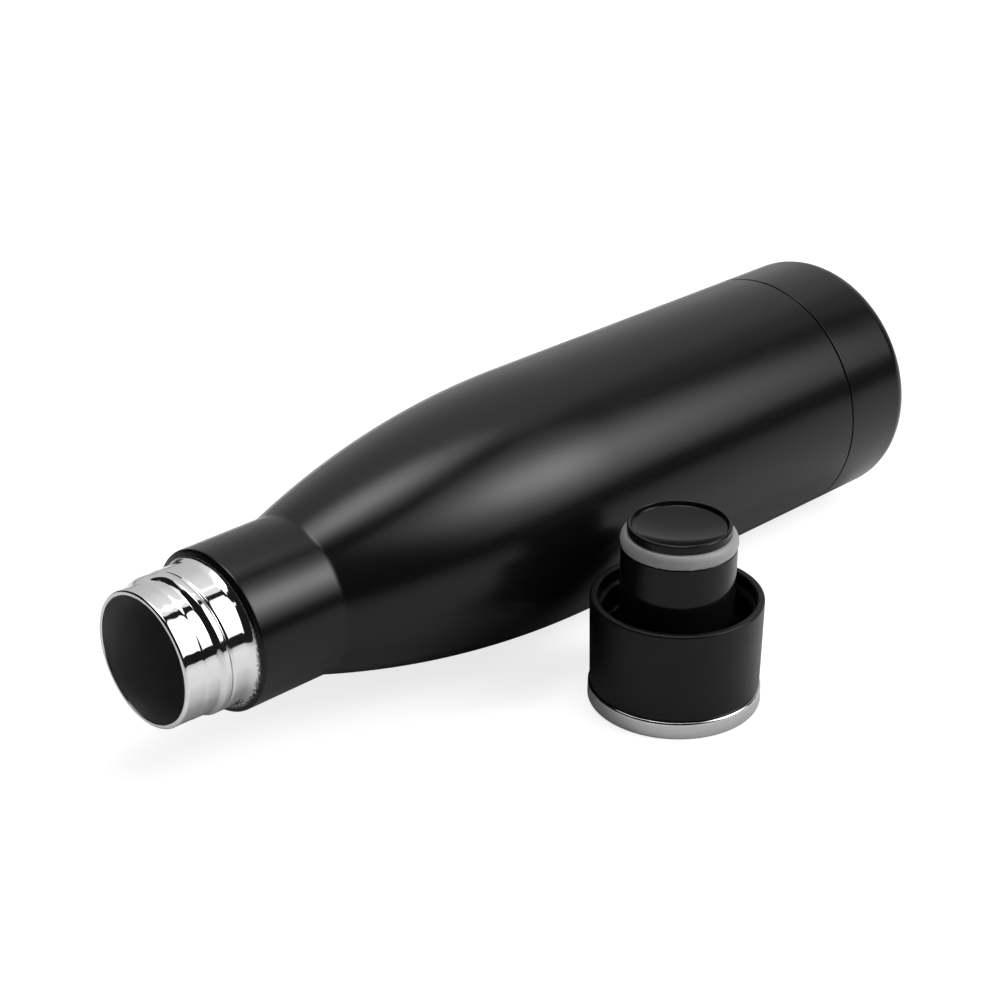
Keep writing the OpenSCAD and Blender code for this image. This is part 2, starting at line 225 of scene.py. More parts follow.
def turned(name, place, path, steps=TURN_STEPS):
    """A solid turned about an axis. A radius may be a function of the turn, and a radius of nought closes an end."""
    form = bmesh.new()
    turns = [2 * math.pi * k / steps for k in range(steps)]
    rings = []
    for radius, height in path:
        if radius == 0:
            rings.append([form.verts.new(place(0, height, 0))])
        else:
            rings.append([form.verts.new(place(radius(t) if callable(radius) else radius, height, t)) for t in turns])
    pairs = list(zip(rings, rings[1:]))
    if len(rings[0]) > 1:
        pairs.append((rings[-1], rings[0]))
    for low, high in pairs:
        for k in range(steps):
            corners = [low[k % len(low)], low[(k + 1) % steps % len(low)],
                       high[(k + 1) % steps % len(high)], high[k % len(high)]]
            form.faces.new(list(dict.fromkeys(corners)))
    bmesh.ops.recalc_face_normals(form, faces=form.faces)
    mesh = bpy.data.meshes.new(name)
    form.to_mesh(mesh)
    form.free()
    mesh.shade_smooth()
    mesh.set_sharp_from_angle(angle=math.radians(38))
    piece = bpy.data.objects.new(name, mesh)
    bpy.context.scene.collection.objects.link(piece)
    even = piece.modifiers.new("Even shading", "WEIGHTED_NORMAL")
    even.keep_sharp = True
    even.weight = 100
    return piece


def finished(piece, finish, body, node):
    """Gives a piece its finish and its body, and hides the node of the frame that it stands for."""
    piece.data.materials.append(finish)
    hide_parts(node)
    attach(piece, body)
    return piece


def dress(node, finish):
    """Gives a node of the frame its finish."""
    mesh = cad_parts[node].data
    mesh.materials.clear()
    mesh.materials.append(finish)


def shoulder(size, offset, end_radius, crease, steps=48):
    """The shoulder's arc moved inwards by offset, from the straight body to its rounded crease at end_radius."""
    drop, rise = BODY_R - size.neck_d / 2, size.neck_from - size.body_h
    big = (rise ** 2 + drop ** 2) / (2 * drop)
    axis = BODY_R - big
    end = math.degrees(math.acos((end_radius - axis) / (big - offset)))
    points = arc(axis, size.body_h, big - offset, 0, end, steps)
    points[-1] = (*points[-1], crease)
    return points


def through(points, x):
    """A smooth curve through points of rising x."""
    points = [points[0]] + list(points) + [points[-1]]
    i = max(1, min(len(points) - 3, sum(point[0] < x for point in points) - 1))
    before, start, end, after = points[i - 1:i + 3]
    width = end[0] - start[0]
    t = min(max((x - start[0]) / width, 0.0), 1.0)
    leave = (end[1] - before[1]) / (end[0] - before[0]) * width
    arrive = (after[1] - start[1]) / (after[0] - start[0]) * width
    return ((1 + 2 * t) * (1 - t) ** 2 * start[1] + t * (1 - t) ** 2 * leave
            + t * t * (3 - 2 * t) * end[1] - t * t * (1 - t) * arrive)


# the mouth's profile below the lip: the land, as (distance, rise in radius), and the step up to the coated neck,
# as (distance, share of the rise)
LAND = ((0.9, 0.0), (2.4, -0.02), (4.0, 0.0), (5.45, 0.01), (6.15, 0.1), (8.0, 0.13), (12.0, 0.15))
STEP = ((17.2, 0.0), (17.8, 0.02), (18.4, 0.075), (18.9, 0.13), (19.3, 0.2), (19.6, 0.34), (19.85, 0.6),
        (20.1, 0.84), (20.4, 0.96), (20.8, 1.0), (21.4, 1.0))
LAND_FROM = LAND[0][0]
# angles in degrees from straight up towards the cap: where the thread's heights are measured, where its front grows
# steep, and where it begins to turn back to its start
THREAD_AT, STEEP_FROM, STEEP_TO, BACK_FROM, BACK_TO = 50, -25, 0, 200, 270
# width of the thread's front, and its width and how much nearer the lip it is where it is shallow
FRONT_W, SHALLOW_W, SHALLOW_AHEAD = 1.75, 4.4, 2.5
GROOVE_DEPTH, GROOVE_W = 0.24, 0.38


def mouth_radius(size, height, turn):
    """Radius of the polished mouth: a land, the rolled thread with its groove, and the step up to the neck."""
    drop = LIP_H - height
    angle = (math.degrees(turn) + 90) % 360 - 90
    rise = (angle - THREAD_AT) / 360 * size.thread_pitch
    land = size.land_d / 2 + through(LAND, drop)
    # behind the mouth the thread turns back to where it starts, and there its front is long and shallow
    back = (angle - BACK_FROM) / (BACK_TO - BACK_FROM)
    start = between(rise, rise - size.thread_pitch, back)
    shallow = between(1, 0, (angle - STEEP_FROM) / (STEEP_TO - STEEP_FROM)) + between(0, 1, back)
    front, width = size.thread_h + start - SHALLOW_AHEAD * shallow, FRONT_W + (SHALLOW_W - FRONT_W) * shallow
    radius = land + (size.thread_d / 2 - land) * between(0, 1, (drop - front) / width + 0.5)
    radius -= GROOVE_DEPTH * math.exp(-((drop - size.groove_h - start) / GROOVE_W) ** 2)
    return radius + (size.neck_d / 2 - radius) * through(STEP, drop)


# ---------------------------------------------------------------- materials


def node(tree, kind, links=None, **values):
    """Adds a node, sets its values and fills its inputs, each from a plain value or another node's output."""
    made = tree.nodes.new(kind)
    for name, value in values.items():
        setattr(made, name, value)
    for name, value in (links or {}).items():
        if isinstance(value, bpy.types.NodeSocket):
            tree.links.new(value, made.inputs[name])
        else:
            made.inputs[name].default_value = value
    return made


def emptied(owner):
    """The node tree of a material, lamp or world, with nothing in it."""
    owner.use_nodes = True
    owner.node_tree.nodes.clear()
    return owner.node_tree


def material(name, **values):
    """A material with one Principled shader whose plain values are given; returns it, its tree and its shader."""
    finish = bpy.data.materials.new(name)
    finish.use_nodes = True
    shader = finish.node_tree.nodes["Principled BSDF"]
    for label, value in values.items():
        shader.inputs[label.replace("_", " ")].default_value = value
    return finish, finish.node_tree, shader


def per(size):
    """Texture scale whose features are this many millimetres apart."""
    return 1000 / size


def place_of(tree):
    """The point on the piece, in metres."""
    return node(tree, "ShaderNodeTexCoord").outputs["Object"]


def round_place(tree, on_cap_axis):
    """The point as distance from the piece's own axis, height along it, and turn about it."""
    centre = (PLATE_MID.x, PLATE_MID.y, 0) if on_cap_axis else (0, BASE_MID.y, BASE_MID.z)
    moved = node(tree, "ShaderNodeVectorMath", {0: place_of(tree), 1: Vector(centre) * MM}, operation="SUBTRACT")
    axes = node(tree, "ShaderNodeSeparateXYZ", {0: moved.outputs[0]}).outputs
    across, up, along = (axes["X"], axes["Y"], axes["Z"]) if on_cap_axis else (axes["Z"], axes["Y"], axes["X"])
    flat = node(tree, "ShaderNodeCombineXYZ", {0: across, 1: up})
    away = node(tree, "ShaderNodeVectorMath", {0: flat.outputs[0]}, operation="LENGTH").outputs["Value"]
    turn = node(tree, "ShaderNodeMath", {0: up, 1: across}, operation="ARCTAN2").outputs[0]
    # the turn counts for little, so that features stretch round the axis
    near = node(tree, "ShaderNodeMath", {0: turn, 1: 0.001}, operation="MULTIPLY").outputs[0]
    return node(tree, "ShaderNodeCombineXYZ", {0: away, 1: along, 2: near}).outputs[0]


def grain(tree, place, size, detail=2.0, roughness=0.5):
    """Noise whose features are this many millimetres apart."""
    return node(tree, "ShaderNodeTexNoise", {"Vector": place, "Scale": per(size), "Detail": detail,
                                             "Roughness": roughness}).outputs["Fac"]


def vary(tree, value, low, high):
    """Spreads a noise value between two limits."""
    return node(tree, "ShaderNodeMapRange", {"Value": value, "From Min": 0.3, "From Max": 0.7,
                                             "To Min": low, "To Max": high}).outputs["Result"]


def relief(tree, shader, height, depth, strength=1.0):
    """Raises the surface by a height value, depth millimetres from lowest to highest."""
    bump = node(tree, "ShaderNodeBump", {"Height": height, "Distance": depth * MM, "Strength": strength})
    tree.links.new(bump.outputs["Normal"], shader.inputs["Normal"])


def powder_coat():
    """Black epoxy-polyester powder coat, sprayed and baked: satin, with a faint orange peel."""
    _, _, finish, _ = settings()
    made, tree, shader = material("Satin black powder coat", Base_Color=(*finish.coat, 1),
                                  Roughness=finish.coat_roughness, Specular_IOR_Level=0.19)
    place = place_of(tree)
    # the peel is about a millimetre from crest to crest and hardly shows
    peel = grain(tree, place, 1.1, 1.0)
    # the grit of the powder is finer than the eye sees and softens every reflection
    grit = grain(tree, place, 0.25, 0.0)
    height = node(tree, "ShaderNodeMix", {"Factor": 0.85, "A": peel, "B": grit})
    relief(tree, shader, height.outputs[0], 0.012)
    spread = 0.015
    rough = vary(tree, grain(tree, place, 14), finish.coat_roughness - spread, finish.coat_roughness + spread)
    tree.links.new(rough, shader.inputs["Roughness"])
    return made


def polished_steel(on_cap_axis=False):
    """304 stainless steel, turned and buffed: mirror bright, with hair-fine rings from the wheel."""
    _, _, finish, _ = settings()
    made, tree, shader = material("Polished stainless steel", Base_Color=(*finish.steel, 1), Metallic=1.0,
                                  Roughness=finish.steel_roughness)
    rings = grain(tree, round_place(tree, on_cap_axis), 0.35, 3.0)
    relief(tree, shader, rings, 0.0002)
    # buffing leaves slightly duller bands
    dull = vary(tree, grain(tree, place_of(tree), 5, 3.0), finish.steel_roughness * 0.7, finish.steel_roughness * 1.6)
    tree.links.new(dull, shader.inputs["Roughness"])
    return made


def masked_edge(height):
    """The end of the powder coat, where it was masked off: ragged specks of coat on polished steel."""
    _, _, finish, _ = settings()
    made, tree, shader = material("Masked end of the powder coat", Specular_IOR_Level=0.19)
    axes = node(tree, "ShaderNodeSeparateXYZ", {0: place_of(tree)}).outputs
    # distance past the masked line, as a share of the ragged strip's width
    line, strip = BASE_HIGH.x - height, 0.45
    past = node(tree, "ShaderNodeMapRange", {"Value": axes["X"], "From Min": line * MM,
                                             "From Max": (line - strip) * MM}, clamp=False)
    specks = vary(tree, grain(tree, place_of(tree), 0.35, 2.0, 0.7), -1.0, 1.0)
    # the edge is cleaner on the upper side: fewer specks stray past the line
    clean = node(tree, "ShaderNodeMapRange", {"Value": axes["Z"], "From Min": (BASE_MID.z - 2) * MM,
                                              "From Max": (BASE_MID.z + 14) * MM, "To Min": 1.0, "To Max": 0.2})
    ragged = node(tree, "ShaderNodeMath", {0: specks, 1: clean.outputs["Result"], 2: past.outputs["Result"]},
                  operation="MULTIPLY_ADD").outputs[0]
    bare = node(tree, "ShaderNodeMapRange", {"Value": ragged, "From Min": 0.4, "From Max": 0.6}).outputs["Result"]
    tint = node(tree, "ShaderNodeMix", {"Factor": bare, "A": (*finish.coat, 1), "B": (*finish.steel, 1)},
                data_type="RGBA")
    gloss = node(tree, "ShaderNodeMapRange", {"Value": bare, "To Min": finish.coat_roughness,
                                              "To Max": finish.steel_roughness * 2})
    tree.links.new(tint.outputs["Result"], shader.inputs["Base Color"])
    tree.links.new(gloss.outputs["Result"], shader.inputs["Roughness"])
    tree.links.new(bare, shader.inputs["Metallic"])
    return made


def drawn_steel():
    """304 stainless steel, drawn to a tube and electropolished inside: satin, with faint lengthwise lines."""
    made, tree, shader = material("Electropolished stainless steel", Base_Color=(*hex_colour("#b4b4b4"), 1),
                                  Metallic=1.0, Roughness=0.5)
    place = place_of(tree)
    long = node(tree, "ShaderNodeVectorMath", {0: place, 1: (0.05, 1, 1)}, operation="MULTIPLY").outputs[0]
    relief(tree, shader, grain(tree, long, 0.5, 2.0), 0.002)
    tree.links.new(vary(tree, grain(tree, place, 9), 0.46, 0.54), shader.inputs["Roughness"])
    return made


def pressed_steel():
    """304 stainless sheet, pressed and left plain: dull, with a soft mottle from the die."""
    made, tree, shader = material("Pressed stainless sheet", Base_Color=(*hex_colour("#a8a8a6"), 1), Metallic=1.0)
    place = place_of(tree)
    relief(tree, shader, grain(tree, place, 0.6, 3.0), 0.003)
    tree.links.new(vary(tree, grain(tree, place, 4), 0.32, 0.46), shader.inputs["Roughness"])
    return made


def satin_plate():
    """304 stainless sheet, spun with a fine belt: satin, with rings that stretch the highlights sideways."""
    _, _, finish, _ = settings()
    made, tree, shader = material("Satin stainless plate", Base_Color=(*finish.plate, 1), Metallic=1.0)
    rings = grain(tree, round_place(tree, True), 0.3, 3.0)
    relief(tree, shader, rings, 0.003)
    tree.links.new(vary(tree, rings, 0.3, 0.42), shader.inputs["Roughness"])
    return made


def solder_glass():
    """Lead-free solder glass, fused over the pump-out hole: dark and glossy, with small bubbles."""
    made, tree, shader = material("Solder glass", Base_Color=(*hex_colour("#2b3138"), 1), Roughness=0.08, IOR=1.6)
    bubbles = node(tree, "ShaderNodeTexVoronoi", {"Vector": place_of(tree), "Scale": per(0.8)})
    relief(tree, shader, bubbles.outputs["Distance"], 0.03)
    return made


def copper_foil():
    """Rolled copper foil, wrapped by hand: bright, with soft creases round the liner."""
    made, tree, shader = material("Bright copper foil", Base_Color=(*hex_colour("#d59a7c"), 1), Metallic=1.0)
    place = place_of(tree)
    relief(tree, shader, grain(tree, place, 6, 2.0), 0.15)
    tree.links.new(vary(tree, grain(tree, place, 3), 0.16, 0.3), shader.inputs["Roughness"])
    return made


def getter_alloy():
    """Zirconium alloy powder, pressed and sintered: a dark grey pellet with open pores."""
    made, tree, shader = material("Sintered getter alloy", Metallic=0.8, Roughness=0.7)
    pores = grain(tree, place_of(tree), 0.3, 3.0, 0.7)
    tint = node(tree, "ShaderNodeMix", {"Factor": pores, "A": (*hex_colour("#303032"), 1),
                                        "B": (*hex_colour("#6c6c70"), 1)}, data_type="RGBA")
    tree.links.new(tint.outputs["Result"], shader.inputs["Base Color"])
    relief(tree, shader, pores, 0.05)
    return made


def cured_adhesive():
    """Toughened epoxy, squeezed out and cured: amber and waxy, with a wavy surface."""
    made, tree, shader = material("Cured epoxy adhesive", Base_Color=(*hex_colour("#8a6a42"), 1), Roughness=0.4,
                                  IOR=1.52)
    relief(tree, shader, grain(tree, place_of(tree), 1.5, 2.0), 0.05)
    return made


def moulded_plastic():
    """Black polypropylene, injection moulded in a fine spark-eroded tool: an even satin without shine."""
    _, _, finish, _ = settings()
    made, tree, shader = material("Satin moulded polypropylene", Base_Color=(*finish.plastic, 1), Roughness=0.38,
                                  Specular_IOR_Level=0.14)
    place = place_of(tree)
    relief(tree, shader, grain(tree, place, 0.3, 2.0), 0.006)
    tree.links.new(vary(tree, grain(tree, place, 7), 0.35, 0.41), shader.inputs["Roughness"])
    return made


def insert_plastic():
    """Black polypropylene, moulded in a polished tool with flow marks: a soft shine on its thread."""
    _, _, finish, _ = settings()
    made, tree, shader = material("Moulded polypropylene insert", Base_Color=(*finish.plastic, 1), Roughness=0.34,
                                  Specular_IOR_Level=0.12)
    relief(tree, shader, grain(tree, round_place(tree, True), 1.2, 1.0), 0.01)
    return made


def glossy_plastic():
    """Black ABS, moulded in a mirror-polished tool: glossy, with a faint waviness."""
    _, _, finish, _ = settings()
    made, tree, shader = material("Glossy moulded ABS", Base_Color=(*finish.plastic, 1), Roughness=0.09,
                                  Specular_IOR_Level=0.14)
    place = place_of(tree)
    relief(tree, shader, grain(tree, place, 5, 1.0), 0.01)
    tree.links.new(vary(tree, grain(tree, place, 3, 3.0), 0.07, 0.11), shader.inputs["Roughness"])
    return made


def silicone():
    """Food-grade silicone rubber, compression moulded: milky, soft to the light and slightly dusty."""
    _, _, finish, _ = settings()
    made, tree, shader = material("Translucent silicone rubber", Base_Color=(*finish.silicone, 1), IOR=1.41,
                                  Subsurface_Weight=0.4, Subsurface_Scale=0.001,
                                  Subsurface_Radius=(1, 1, 1), Roughness=0.45)
    place = place_of(tree)
    relief(tree, shader, grain(tree, place, 0.4, 2.0), 0.004)
    tree.links.new(vary(tree, grain(tree, place, 2), 0.4, 0.52), shader.inputs["Roughness"])
    return made


def foam():
    """Closed-cell polyethylene foam, cut from sheet: cream, with cells under a millimetre."""
    made, tree, shader = material("Closed-cell foam", Roughness=0.9)
    cells = node(tree, "ShaderNodeTexVoronoi", {"Vector": place_of(tree), "Scale": per(0.8)}).outputs["Distance"]
    tint = node(tree, "ShaderNodeMix", {"Factor": cells, "A": (*hex_colour("#efe8d2"), 1),
                                        "B": (*hex_colour("#c9bf9f"), 1)}, data_type="RGBA")
    tree.links.new(tint.outputs["Result"], shader.inputs["Base Color"])
    relief(tree, shader, cells, 0.15)
    return made


# ---------------------------------------------------------------- pieces


class FLASK_OT_shell(bpy.types.Operator):
    """Make the outer shell with its coated neck and its polished mouth"""

    bl_idname = "flask.shell"
    bl_label = "Outer shell"

    def execute(self, context):
        sizes, _, _, _ = settings()
        size = millimetres(sizes)
        neck, bore, wall = size.neck_d / 2, size.bore_d / 2, size.shell_t
        skirt, start, seam_to = BODY_R - 0.5, size.edge_r + 0.4, size.seam_h + size.seam_w
        # the polished outside has fine rings, and the hidden inside needs few
        ring, few = 0.1, 12
        steps = int((LIP_H - LAND_FROM - size.neck_to) / ring)
        heights = [size.neck_to - 0.2 + ring * i for i in range(steps + 2)]
        outside = [(lambda t, h=h: mouth_radius(size, h, t), h) for h in heights]
        inside = [(lambda t, h=h: mouth_radius(size, h, t) - wall, h - wall / 2) for h in reversed(heights[::few])]
        lip_r, lip_edge, inner_edge = size.land_d / 2, 0.6, 0.25
        path = rounded(
            [(skirt, start), (skirt, seam_to), (BODY_R, seam_to, 0.3)] + shoulder(size, 0, neck, size.crease_r)
            + [(neck, size.neck_to - 0.4)])
        path += outside
        path += arc(lip_r - lip_edge, LIP_H - lip_edge, lip_edge, 0, 90)
        path += arc(bore + inner_edge, LIP_H - inner_edge, inner_edge, 90, 180)
        path += [(bore, LIP_H - 0.5), (lip_r - wall, LIP_H - 0.5)]
        path += inside
        path += rounded([(neck - wall, size.neck_to - wall - 0.6)]
                        + list(reversed(shoulder(size, wall, neck - wall, size.crease_r + wall, 20)))
                        + [(BODY_R - wall, seam_to + wall), (skirt - wall, seam_to + wall), (skirt - wall, start)])
        piece = turned("Outer_shell", on_flask, path)
        finished(piece, powder_coat(), "flask", "outer_shell")
        piece.data.materials.append(polished_steel())
        masked, bare = size.neck_to + 1.3, size.neck_to + 2.1
        piece.data.materials.append(masked_edge(masked))
        for face in piece.data.polygons:
            height = BASE_HIGH.x - face.center.x / MM
            if height > bare:
                face.material_index = 1
            elif height > size.neck_to:
                face.material_index = 2
        return {"FINISHED"}


class FLASK_OT_liner(bpy.types.Operator):
    """Make the inner liner, and finish its bottom"""

    bl_idname = "flask.liner"
    bl_label = "Inner liner"

    def execute(self, context):
        sizes, _, _, _ = settings()
        size = millimetres(sizes)
        low, high, _ = span("inner_liner")
        start, end = BASE_HIGH.x - high.x, BASE_HIGH.x - low.x
        wall, bore, throat = size.liner_t, size.bore_d / 2, size.throat_d / 2
        offset = size.shell_t + size.vacuum_gap
        cone, gap, bend = 217.0, 3.5, 3.0
        outside = [(BODY_R - offset, start)] + shoulder(size, offset, throat + wall, bend) + [
            (throat + wall, cone, bend), (bore + wall, cone + gap), (bore + wall, end)]
        inside = [(bore, end), (bore, cone + gap), (throat, cone, bend + wall)] + list(reversed(
            shoulder(size, offset + wall, throat, bend + wall))) + [(BODY_R - offset - wall, start)]
        piece = turned("Inner_liner", on_flask, rounded(outside + inside))
        steel = drawn_steel()
        finished(piece, steel, "flask", "inner_liner")
        dress("liner_bottom", steel)
        return {"FINISHED"}


class FLASK_OT_base_cup(bpy.types.Operator):
    """Make the coated cup round the base"""

    bl_idname = "flask.base_cup"
    bl_label = "Base cup"

    def execute(self, context):
        sizes, _, _, _ = settings()
        size = millimetres(sizes)
        wall, edge, recess, depth = 0.4, size.edge_r, 21.0, 1.4
        path = rounded([
            (0, depth), (recess - depth, depth, 1.0), (recess, 0, 1.0), (BODY_R, 0, edge),
            (BODY_R, size.seam_h, 0.25), (BODY_R - wall, size.seam_h), (BODY_R - wall, wall, edge - wall),
            (recess + wall / 2, wall, 1.0), (recess - depth + wall / 2, depth + wall, 1.0), (0, depth + wall)])
        piece = turned("Base_cup", on_flask, path)
        finished(piece, powder_coat(), "flask", "base_cup")
        return {"FINISHED"}


class FLASK_OT_vacuum_parts(bpy.types.Operator):
    """Finish the pieces in and under the vacuum: bottom, bead, foil, getter, clip and bond"""

    bl_idname = "flask.vacuum_parts"
    bl_label = "Vacuum parts"

    def execute(self, context):
        sheet = pressed_steel()
        dress("outer_bottom", sheet)
        dress("getter_clip", sheet)
        dress("vacuum_seal_bead", solder_glass())
        dress("radiation_foil", copper_foil())
        dress("getter", getter_alloy())
        bond = cured_adhesive()
        dress("cup_adhesive", bond)
        dress("plate_adhesive", bond)
        return {"FINISHED"}


class FLASK_OT_cap(bpy.types.Operator):
    """Make the cap's skirt and the thread insert in it"""

    bl_idname = "flask.cap"
    bl_label = "Cap"

    def execute(self, context):
        _, sizes, _, _ = settings()
        size = millimetres(sizes)
        low, high, _ = span("cap_shell")
        top, outer = high.z, (high.x - low.x) / 2
        in_low, in_high, _ = span("thread_insert")
        wall_r, in_top = (in_high.x - in_low.x) / 2, in_high.z
        edge, rim_h, spigot, closed = size.rim_edge_r, PLATE_HIGH.z - PLATE_LOW.z, 21.65, 3.3
        skirt = rounded([
            (0, low.z), (spigot, low.z), (spigot, rim_h), (outer - size.draft - 0.15, rim_h, 0.7), (outer, top, edge),
            (wall_r, top, edge), (wall_r, closed), (0, closed)])
        piece = turned("Cap_skirt", on_cap, skirt)
        finished(piece, moulded_plastic(), "cap", "cap_shell")

        bore, stopper, flange, floor_low, floor_top = size.insert_bore_d / 2, size.stopper_d / 2, 17.0, 5.0, 7.0
        start, turns, pitch, run_out = floor_top + 4.0, 1.8, 5.94, 0.06

        def wall_of(height):
            """The insert's bore with its helical rib, at one height."""
            def radius(turn):
                depth = 0.0
                for lap in range(3):
                    along = turn / (2 * math.pi) + lap
                    off = abs(height - start - pitch * along) / (size.rib_w / 2)
                    fade = between(0, 1, along / run_out) * between(0, 1, (turns - along) / run_out)
                    depth = max(depth, size.rib_h * fade * between(1, 0, (off - 0.45) / 0.75))
                return bore - depth
            return radius

        lead, row = 0.6, 0.2
        rows = [in_top - lead - row * i for i in range(int((in_top - lead - floor_top) / row))]
        insert = [(flange, in_low.z), (wall_r, in_low.z), (wall_r, in_top), (bore + lead, in_top)]
        insert += [(wall_of(h), h) for h in rows]
        hole = stopper + 0.02
        insert += [(bore, floor_top), (hole, floor_top), (hole, floor_low), (flange, floor_low)]
        piece = turned("Thread_insert", on_cap, insert)
        finished(piece, insert_plastic(), "cap", "thread_insert")
        return {"FINISHED"}


class FLASK_OT_top_plate(bpy.types.Operator):
    """Make the steel plate that the cap stands on"""

    bl_idname = "flask.top_plate"
    bl_label = "Top plate"

    def execute(self, context):
        _, sizes, _, _ = settings()
        size = millimetres(sizes)
        outer, rim_h, sheet = (PLATE_HIGH.x - PLATE_LOW.x) / 2, PLATE_HIGH.z, 0.5
        rim, roll = outer - 0.08, 0.7
        inner = rim - roll - 0.2
        path = rounded([(0, 0), (outer, 0, size.plate_edge_r), (rim, rim_h, roll), (inner, rim_h),
                        (inner, sheet), (0, sheet)])
        piece = turned("Top_plate", on_cap, path)
        finished(piece, satin_plate(), "cap", "cap_top_plate")
        piece.data.materials.append(polished_steel(True))
        for face in piece.data.polygons:
            face.material_index = int(face.center.z / MM > rim_h - roll)
        return {"FINISHED"}


class FLASK_OT_stopper(bpy.types.Operator):
    """Make the hollow stopper and its dished end, and finish the foam in it"""

    bl_idname = "flask.stopper"
    bl_label = "Stopper"

    def execute(self, context):
        _, sizes, _, _ = settings()
        size = millimetres(sizes)
        body_low, body_high, _ = span("stopper_body")
        end_low, end_high, _ = span("stopper_end")
        outer, flange, top = size.stopper_d / 2, (body_high.x - body_low.x) / 2, body_high.z
        shelf, wall, post, post_wall = top - 3.6, 1.8, 12.5, 1.4
        body = rounded([
            (outer - wall, body_low.z), (flange, body_low.z), (flange, body_low.z + 1.7), (outer, body_low.z + 1.7),
            (outer, shelf, 0.3), (post, shelf), (post, top), (post - post_wall, top),
            (post - post_wall, shelf - wall), (outer - wall, shelf - wall)])
        gloss = glossy_plastic()
        piece = turned("Stopper_body", on_cap, body)
        finished(piece, gloss, "cap", "stopper_body")

        end_r, end_top = (end_high.x - end_low.x) / 2, end_high.z
        dish, rim_drop = end_r - size.dish_rim, 1.15
        floor = dish - 0.35
        ball = (floor ** 2 + size.dish_depth ** 2) / (2 * size.dish_depth)
        lowest = end_top - rim_drop - size.dish_depth

        def bowl(radius):
            """The point of the bowl at a radius."""
            return radius, lowest + ball - math.sqrt(ball ** 2 - radius ** 2)

        cap_end = rounded([(0, end_low.z), (post - post_wall, end_low.z), (post - post_wall, top), (end_r, top, 0.15),
                           (end_r, end_top, 0.45), (dish, end_top, 0.25), (floor, end_top - rim_drop, 0.5),
                           bowl(floor * 0.9)])
        cap_end += [bowl(floor * part) for part in [0.86 - 0.06 * i for i in range(14)]] + [(0, lowest)]
        piece = turned("Stopper_end", on_cap, cap_end)
        finished(piece, gloss, "cap", "stopper_end")
        dress("stopper_foam", foam())
        return {"FINISHED"}


class FLASK_OT_seal_ring(bpy.types.Operator):
    """Make the silicone seal ring with its two mould nibs"""

    bl_idname = "flask.seal_ring"
    bl_label = "Seal ring"

    def execute(self, context):
        low, high, _ = span("seal_ring")
        outer, hole, end_r, foot = (high.x - low.x) / 2, 12.55, 13.3, 14.75
        bulge = low.z + 1.2

        nibs, nib_w, nib_h = (200.0, 233.5), 2.2, 0.4

        def nibbed(radius, rise):
            """The lower edge swells where the ring was torn from its mould."""
            def at(turn):
                swell = sum(math.exp(-((math.degrees(turn) - nib) / nib_w) ** 2) for nib in nibs)
                return radius + nib_h * rise * swell
            return at

        path = [(hole, low.z), (foot - 0.2, low.z), (nibbed(foot, 0.6), low.z + 0.15),
                (nibbed(foot + 0.07, 1), low.z + 0.4), (nibbed(outer - 0.12, 0.5), low.z + 0.7)]
        steps = 12
        path += [(end_r + (outer - end_r) * math.cos(t), bulge + (high.z - bulge) * math.sin(t))
                 for t in [math.pi / 2 * i / steps for i in range(steps)]]
        path += [(end_r, high.z), (hole, high.z)]
        piece = turned("Seal_ring", on_cap, path)
        finished(piece, silicone(), "seal", "seal_ring")
        return {"FINISHED"}


# ---------------------------------------------------------------- studio


def glow(name, brightness, high=None):
    """A surface that glows evenly, or from brightness at its foot to high at its top."""
    finish = bpy.data.materials.new(name)
    tree = emptied(finish)
    strength = brightness
    if high is not None:
        up = node(tree, "ShaderNodeSeparateXYZ", {0: node(tree, "ShaderNodeTexCoord").outputs["Generated"]})
        strength = node(tree, "ShaderNodeMapRange", {"Value": up.outputs["Z"], "To Min": brightness,
                                                     "To Max": high}).outputs["Result"]
    light = node(tree, "ShaderNodeEmission", {"Color": (1, 1, 1, 1), "Strength": strength})
    node(tree, "ShaderNodeOutputMaterial", {"Surface": light.outputs[0]})
    return finish


def background_rays(tree):
    """One for rays that see the background, straight or in a shiny or clear surface, and nought for the rest."""
    path = node(tree, "ShaderNodeLightPath").outputs
    shiny = node(tree, "ShaderNodeMath", {0: path["Is Glossy Ray"], 1: path["Is Transmission Ray"]},
                 operation="MAXIMUM")
    return node(tree, "ShaderNodeMath", {0: path["Is Camera Ray"], 1: shiny.outputs[0]},
                operation="MAXIMUM").outputs[0]


